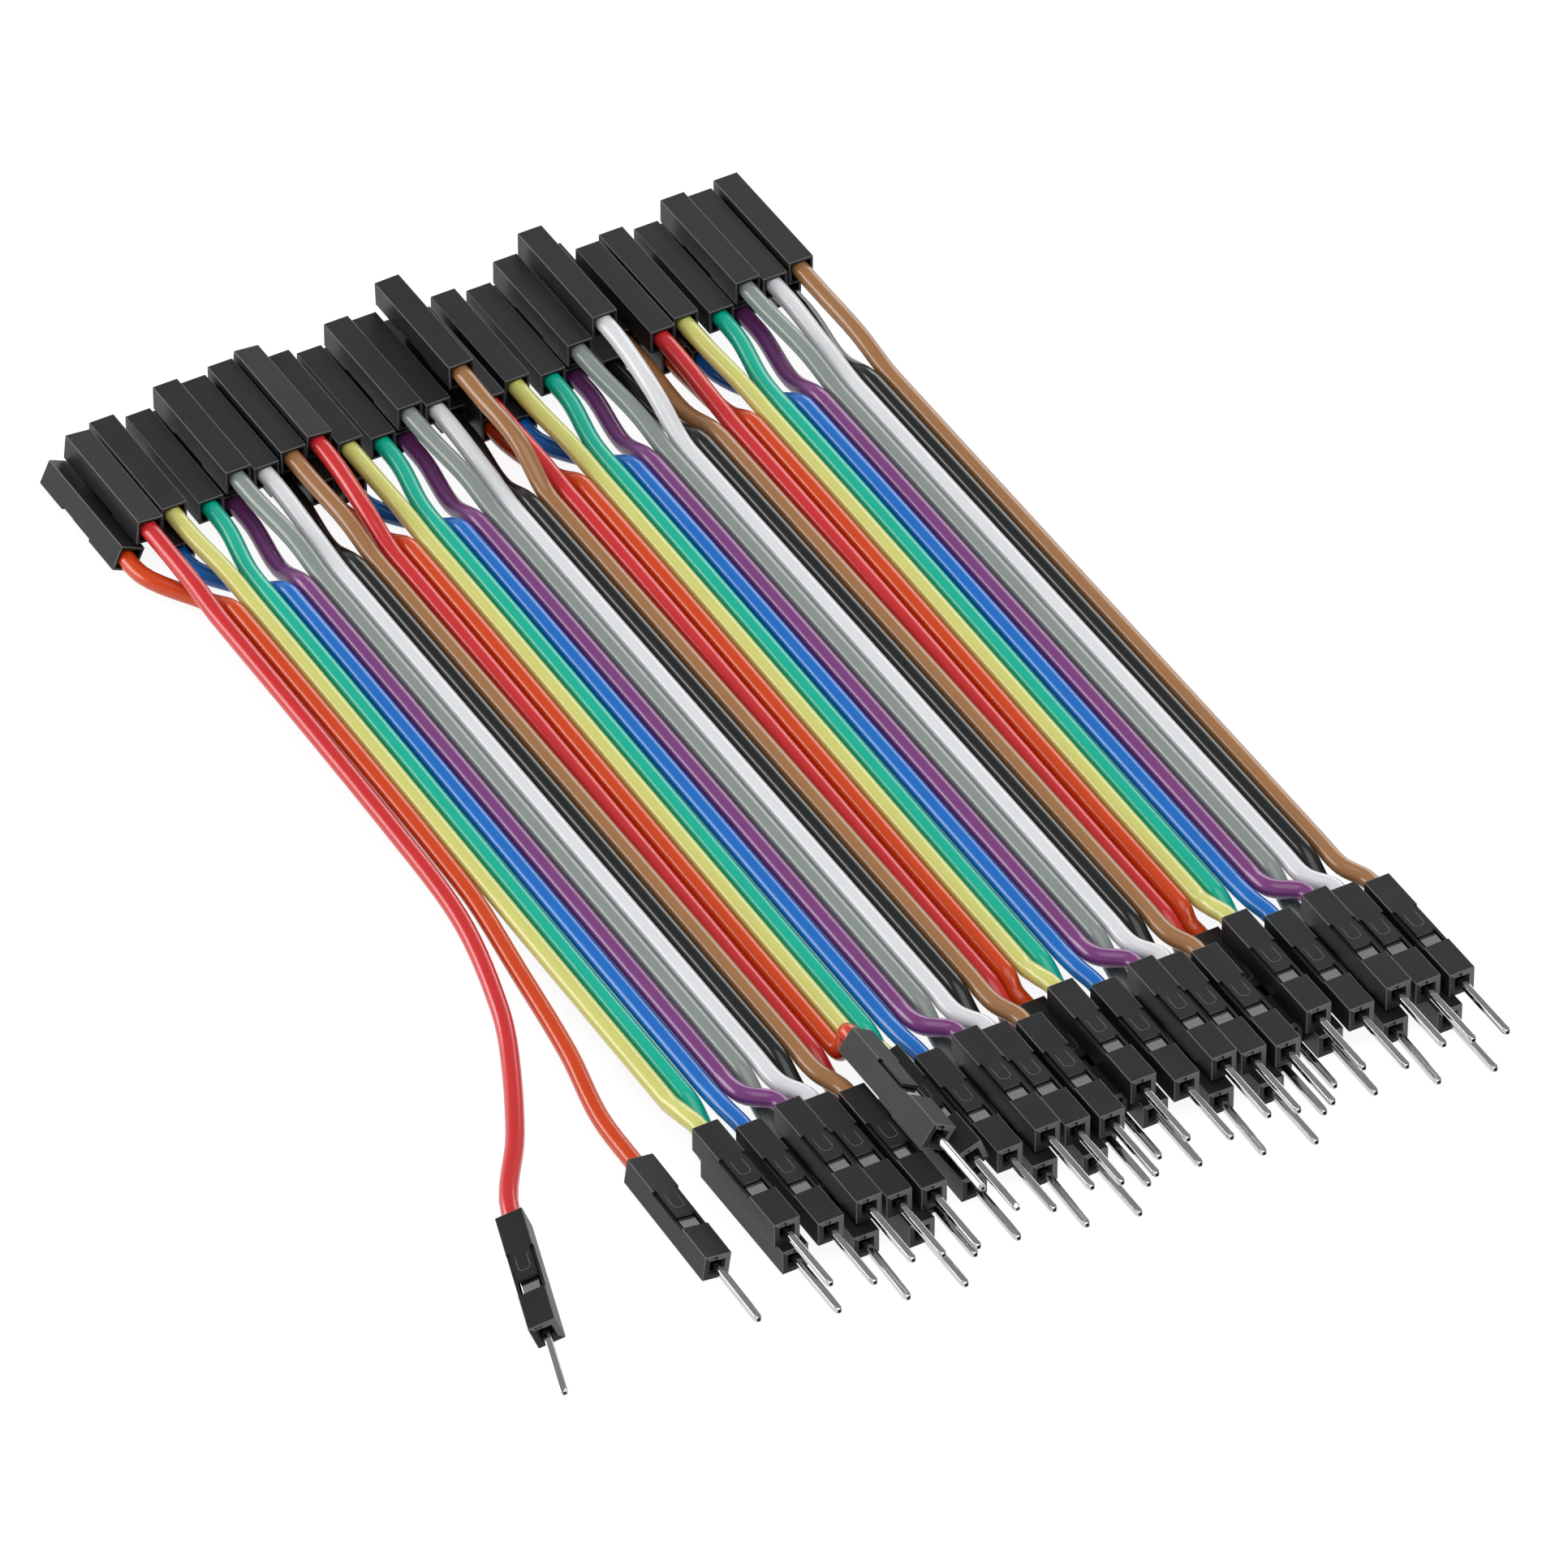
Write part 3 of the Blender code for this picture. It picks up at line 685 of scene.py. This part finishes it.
def moulded_housing(sizes):
    """The one-way housing: wire end at the origin, mating end at -Y, latch on top."""
    half = sizes.width / 2
    front = -sizes.length
    over = sizes.width / 10
    mouth = sizes.mouth_width / 2
    channel = sizes.channel_width / 2
    inner = front + sizes.front_wall
    opening = sizes.opening_width
    flare = (sizes.funnel_width - opening) / sizes.funnel_depth
    body = softened(block("housing", (-half, front, -half), (half, 0, half)), sizes.edge)
    cuts = [block("mouth", (-mouth, -sizes.mouth_depth, -mouth), (mouth, over, mouth)),
            block("channel", (-channel, inner, -channel), (channel, over - sizes.mouth_depth, channel)),
            prism("opening", square(front - over, opening), square(inner + over, opening)),
            prism("funnel", square(front - over, sizes.funnel_width + 2 * flare * over),
                  square(front + sizes.funnel_depth, opening)),
            front_ramp(sizes)]
    start = -sizes.latch_start
    end = start - sizes.tongue_length
    edge = end - sizes.window_length
    tongue = sizes.tongue_width / 2
    shelf = half - sizes.shelf_drop
    for side in (-1, 1):
        inside, outside = sorted((side * tongue, side * (half + over)))
        cuts.append(block("shelf", (inside, edge, shelf), (outside, start, half + over)))
        inside, outside = sorted((side * (tongue - sizes.slit), side * tongue))
        cuts.append(block("slit", (inside, end, channel - sizes.slit), (outside, start, half + over)))
    window = tongue - sizes.slit / 2
    cuts.append(block("window", (-window, edge, 0), (window, end, half + over)))
    cuts.append(block("ledge", (-half - over, edge, shelf), (half + over, end, half + 2 * over)))
    housing = combine(body, cuts, "DIFFERENCE")
    mark_ramp_highlight(housing.data, sizes)
    return housing


def mark_ramp_highlight(mesh, sizes):
    """The notch's slope gets the same painted highlight as the rounded edges."""
    marks = mesh.attributes["edge"].data
    for face in mesh.polygons:
        inside = abs(face.center.x) < sizes.ramp_width and face.center.z > sizes.opening_width / 2
        if inside and face.center.y < sizes.ramp_depth - sizes.length and face.normal.y < 0 < face.normal.z:
            marks[face.index].value = 1.0


def front_ramp(sizes):
    """Cutter for the sloped notch above the front opening, left of its middle."""
    right = -RAMP_ASIDE * sizes.ramp_width
    left = right - sizes.ramp_width
    low = RAMP_FOOT * sizes.opening_width
    high = sizes.width / 2 - RAMP_BELOW_TOP
    near = -sizes.length - sizes.slit
    far = -sizes.length + sizes.ramp_depth
    thin = high - sizes.slit
    return prism("ramp", [(left, near, high), (right, near, high), (right, near, low), (left, near, low)],
                 [(left, far, high), (right, far, high), (right, far, thin), (left, far, thin)])


def tongue_bead(sizes):
    """The fine raised U on the latch tongue, its open end towards the wire."""
    arm = sizes.bead_arm
    bulge = BEAD_BULGE * arm
    start = -sizes.latch_start - BEAD_START
    turn_y = -sizes.latch_start - sizes.tongue_length + sizes.bead_reach + bulge
    points = [(-arm, start), (-arm, (start + turn_y) / 2), (-arm, turn_y)]
    for step in range(1, BEAD_STEPS):
        angle = math.radians(180 + 180 * step / BEAD_STEPS)
        points.append((arm * math.cos(angle), turn_y + bulge * math.sin(angle)))
    points += [(arm, turn_y), (arm, (start + turn_y) / 2), (arm, start)]
    curve = bpy.data.curves.new("bead", "CURVE")
    curve.dimensions = "3D"
    curve.bevel_depth = sizes.bead_thickness / 2
    curve.bevel_resolution = 1
    curve.use_fill_caps = True
    spline = curve.splines.new("POLY")
    spline.points.add(len(points) - 1)
    for knot, (x, y) in zip(spline.points, points):
        knot.co = (x, y, sizes.width / 2 - BEAD_SUNK, 1.0)
        knot.radius = BEAD_END if y == start else 1.0
    bead = plain_mesh(link("bead", curve), "bead")
    # The whole bead gets the plastic's painted highlight, which draws it as a light line
    mark_painted_highlight(bead.data, [1.0] * len(bead.data.polygons))
    return bead


def lofted(name, loops):
    """A closed form through loops of equally many points."""
    form = bmesh.new()
    rings = [[form.verts.new(point) for point in loop] for loop in loops]
    for near, far in zip(rings, rings[1:]):
        for index in range(len(near)):
            after = (index + 1) % len(near)
            form.faces.new((near[index], near[after], far[after], far[index]))
    form.faces.new(rings[0])
    form.faces.new(rings[-1])
    bmesh.ops.recalc_face_normals(form, faces=form.faces)
    mesh = bpy.data.meshes.new(name)
    form.to_mesh(mesh)
    form.free()
    mesh.shade_smooth()
    mesh.set_sharp_from_angle(angle=SHARP_FROM)
    return link(name, mesh)


def pin_outline(y, share, sizes):
    """One outline of the pin, at a share of its full width."""
    return square(y, sizes.pin_width * share, sizes.pin_corner * share, CORNER_STEPS)


def contact_piece(housing, sizes, with_pin):
    """A formed contact in its housing: crimp barrel, box and a pin or a socket."""
    front = -housing.length + housing.front_wall + sizes.clearance
    rear = -housing.mouth_depth - sizes.clearance
    side = sizes.box_width / 2
    inside = side - sizes.sheet
    slot = inside / 2
    rounding = sizes.sheet / 5
    name = "pin_contact" if with_pin else "socket_contact"
    base = block(name, (-side, front, -side), (side, rear, sizes.box_top))
    barrel = block("barrel", (-slot, rear - sizes.crimp_length, -inside), (slot, rear + side, side + side))
    base = combine(base, [barrel], "DIFFERENCE")
    if not with_pin:
        hole = block("hole", (-inside, front - side, -inside), (inside, front + sizes.socket_depth, inside))
        return softened(combine(base, [hole], "DIFFERENCE"), rounding)
    tip = -housing.length - sizes.pin_reach
    outlines = [pin_outline(front + sizes.pin_width, 1.0, sizes)]
    outlines += [pin_outline(tip + back * MM, share, sizes) for back, share in PIN_NOSE]
    return joined(name, [softened(base, rounding), lofted("pin", outlines)])


def joined(name, parts):
    """Several mesh objects as one, each still its own closed shell."""
    form = bmesh.new()
    for part in parts:
        form.from_mesh(part.data)
        bpy.data.objects.remove(part, do_unlink=True)
    mesh = bpy.data.meshes.new(name)
    form.to_mesh(mesh)
    form.free()
    return link(name, mesh)


def row_of(name, piece, places, material):
    """A copy of the piece at each place, as one plain mesh."""
    mesh = bpy.data.meshes.new(name)
    mesh.from_pydata([place.translation for place in places], [], [])
    turns = mesh.attributes.new("turn", "FLOAT_VECTOR", "POINT")
    for item, place in zip(turns.data, places):
        item.vector = place.to_euler()
    holder = with_group(link(name, mesh), row_group(), {"Piece": piece, "Material": material})
    row = plain_mesh(holder, name)
    bpy.data.objects.remove(piece, do_unlink=True)
    return row


def seat(piece, slot, nodes):
    """Hang a finished piece on the frame's body and hide the frame's nodes that it stands for; the slot is
    not used.
    """
    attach(piece, BODY)
    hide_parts(*nodes)


class JUMPERS_OT_camera(Operator):
    """Set the camera to the viewing angle of the product shot"""

    bl_idname = "jumpers.camera"
    bl_label = "Camera"

    def execute(self, context):
        azimuth = math.radians(-29.636)
        elevation = math.radians(40.874)
        roll = math.radians(0.1327)
        distance = 1.21877
        focal_pixels = 17249.25
        frame_pixels = 1932
        back = Vector((math.sin(azimuth) * math.cos(elevation), -math.cos(azimuth) * math.cos(elevation),
                       math.sin(elevation)))
        level = Vector((-back.y, back.x, 0.0)).normalized()
        upright = back.cross(level)
        right = level * math.cos(roll) - upright * math.sin(roll)
        upward = back.cross(right)
        camera = bpy.data.cameras.new("product_camera")
        camera.sensor_width = 36.0
        camera.lens = focal_pixels / frame_pixels * camera.sensor_width
        camera.clip_start = 0.05
        camera.clip_end = 20.0
        camera.dof.use_dof = False
        holder = link("product_camera", camera)
        turn = Matrix((right, upward, back)).transposed().to_4x4()
        holder.matrix_world = Matrix.Translation(TO_CENTRE + back * distance) @ turn
        context.scene.camera = holder
        return {"FINISHED"}


class JUMPERS_OT_wires(Operator):
    """Make the forty insulated wires"""

    bl_idname = "jumpers.wires"
    bl_label = "Wires"

    def execute(self, context):
        settings = context.scene.jumpers
        sizes = settings.ribbon
        group = tube_group()
        finishes = {name: insulation(name, getattr(settings.finish, name)) for name in COLOUR_ORDER}
        for wire in range(1, WIRE_COUNT + 1):
            route = route_of(wire, settings.housing)
            path = smooth_path(route, sizes.steps)
            name = "insulation_" + label_of(wire)
            curve = bpy.data.curves.new(name, "CURVE")
            curve.dimensions = "3D"
            spline = curve.splines.new("POLY")
            spline.points.add(len(path) - 1)
            for knot, point in zip(spline.points, path):
                knot.co = (*point, 1.0)
            holder = with_group(link(name, curve), group, {"Diameter": sizes.diameter, "Sides": sizes.sides,
                                                           "Material": finishes[colour_of(wire)]})
            piece = plain_mesh(holder, name)
            seat(piece, colour_of(wire) + "_insulation", nodes_of(wire, "wire"))
            run = sum((after - before).length for before, after in zip(path, path[1:]))
        return {"FINISHED"}


class JUMPERS_OT_housings(Operator):
    """Make the pin housings and the socket housings"""

    bl_idname = "jumpers.housings"
    bl_label = "Housings"

    def execute(self, context):
        settings = context.scene.jumpers
        plastic = housing_plastic(settings.finish)
        wires = range(1, WIRE_COUNT + 1)
        for name, place in (("pin_housing", male_place), ("socket_housing", female_place)):
            parts = [moulded_housing(settings.housing)]
            if name == "pin_housing":
                parts.append(tongue_bead(settings.housing))
            housing = joined("housing", parts)
            places = [place(wire, settings.housing.width) for wire in wires]
            row = row_of(name + "s", housing, places, plastic)
            seat(row, "housing_plastic", [node for wire in wires for node in nodes_of(wire, name)])
        return {"FINISHED"}


class JUMPERS_OT_contacts(Operator):
    """Make the pin contacts and the socket contacts"""

    bl_idname = "jumpers.contacts"
    bl_label = "Contacts"

    def execute(self, context):
        settings = context.scene.jumpers
        tin = tinned_sheet(settings.finish)
        wires = range(1, WIRE_COUNT + 1)
        for name, place in (("pin_contact", male_place), ("socket_contact", female_place)):
            piece = contact_piece(settings.housing, settings.contact, name == "pin_contact")
            places = [place(wire, settings.housing.width) for wire in wires]
            row = row_of(name + "s", piece, places, tin)
            seat(row, "tinned_contact", [node for wire in wires for node in nodes_of(wire, name)])
        return {"FINISHED"}


class JUMPERS_OT_stage(Operator):
    """Make the floor, the soft lights and the surroundings"""

    bl_idname = "jumpers.stage"
    bl_label = "Stage"

    def lamp(self, name, power, place, width, height):
        """A soft rectangular lamp that shines at the ribbon's middle."""
        light = bpy.data.lights.new(name, "AREA")
        light.shape = "RECTANGLE"
        light.size = width
        light.size_y = height
        light.energy = power
        holder = link(name, light)
        holder.visible_camera = False
        aim = (TO_CENTRE - Vector(place)).to_track_quat("-Z", "Y")
        holder.matrix_world = Matrix.Translation(place) @ aim.to_matrix().to_4x4()

    def shown(self, graph):
        """Whether a ray comes from the camera, a reflection or through glass."""
        paths = [graph.add("ShaderNodeLightPath", {}, {}, kind + " Ray")
                 for kind in ("Is Camera", "Is Glossy", "Is Transmission")]
        return graph.add("ShaderNodeClamp", {}, {"Value": paths[0] + paths[1] + paths[2]})

    def floor(self):
        """A white floor that glows for the camera and in reflections and keeps the shadow."""
        material, graph = material_graph("floor")
        seen = self.shown(graph)
        plain = graph.add("ShaderNodeBsdfDiffuse", {}, {"Color": (*FLOOR_COLOUR, 1.0)})
        glow = graph.add("ShaderNodeEmission", {}, {"Color": WHITE, "Strength": FLOOR_GLOW})
        lit = graph.add("ShaderNodeMixShader", {}, {0: FLOOR_GLOW_SHARE, 1: plain, 2: glow})
        surface = graph.add("ShaderNodeMixShader", {}, {0: seen, 1: plain, 2: lit})
        graph.add("ShaderNodeOutputMaterial", {}, {"Surface": surface})
        reach = FLOOR_WIDTH / 2
        mesh = bpy.data.meshes.new("floor")
        corners = [(-reach, -reach, 0), (reach, -reach, 0), (reach, reach, 0), (-reach, reach, 0)]
        mesh.from_pydata(corners, [], [(0, 1, 2, 3)])
        mesh.materials.append(material)
        link("floor", mesh)

    def surroundings(self, strength):
        """White to the camera and near the horizon, and darker overhead for the light it gives."""
        world = bpy.data.worlds.new("studio")
        world.use_nodes = True
        graph = Graph(world.node_tree)
        direction = graph.add("ShaderNodeTexCoord", {}, {}, "Generated")
        height = graph.add("ShaderNodeSeparateXYZ", {}, {0: direction}, "Z")
        dome = graph.add("ShaderNodeMapRange", {}, {"Value": height, "From Min": 0.05, "From Max": 0.45,
                                                    "To Min": 1.0, "To Max": strength})
        seen = graph.add("ShaderNodeLightPath", {}, {}, "Is Camera Ray")
        level = dome * (1.0 - seen) + seen
        back = graph.add("ShaderNodeBackground", {}, {"Color": WHITE, "Strength": level})
        graph.add("ShaderNodeOutputWorld", {}, {"Surface": back})
        bpy.context.scene.world = world

    def execute(self, context):
        studio = context.scene.jumpers.studio
        self.floor()
        self.surroundings(studio.dome)
        self.lamp("left_strip", studio.left, place=(-0.50, 0.46, 0.17), width=0.6, height=0.28)
        self.lamp("right_strip", studio.right, place=(0.48, 0.46, 0.22), width=0.5, height=0.26)
        self.lamp("front_light", studio.front, place=(0.34, -0.57, 0.57), width=0.35, height=0.35)
        self.lamp("overhead", studio.top, place=(-0.10, -0.15, 0.95), width=0.9, height=0.9)
        context.scene.view_settings.view_transform = "Standard"
        return {"FINISHED"}


STEPS = (JUMPERS_OT_camera, JUMPERS_OT_wires, JUMPERS_OT_housings, JUMPERS_OT_contacts, JUMPERS_OT_stage)


class JUMPERS_PT_panel(Panel):
    """Lists the steps that build the ribbon"""

    bl_idname = "JUMPERS_PT_panel"
    bl_label = "Jumper wire ribbon"
    bl_space_type = "VIEW_3D"
    bl_region_type = "UI"
    bl_category = "Jumpers"

    def draw(self, context):
        for step in STEPS:
            self.layout.operator(step.bl_idname)
        for group in ("ribbon", "housing", "contact", "finish", "studio"):
            column = self.layout.column(align=True)
            settings = getattr(context.scene.jumpers, group)
            for name in settings.__annotations__:
                column.prop(settings, name)


CLASSES = (RibbonSizes, HousingSizes, ContactSizes, Finishes, Studio, JumperSettings, *STEPS,
           JUMPERS_PT_panel)


def register():
    """Add the classes and the scene's settings."""
    for item in CLASSES:
        bpy.utils.register_class(item)
    bpy.types.Scene.jumpers = PointerProperty(type=JumperSettings)


def unregister():
    """Take the settings and the classes out again."""
    del bpy.types.Scene.jumpers
    for item in reversed(CLASSES):
        bpy.utils.unregister_class(item)


def main():
    """Make everything in order."""
    register()
    for step in STEPS:
        group, name = step.bl_idname.split(".")
        getattr(getattr(bpy.ops, group), name)()


if __name__ == "__main__":
    main()
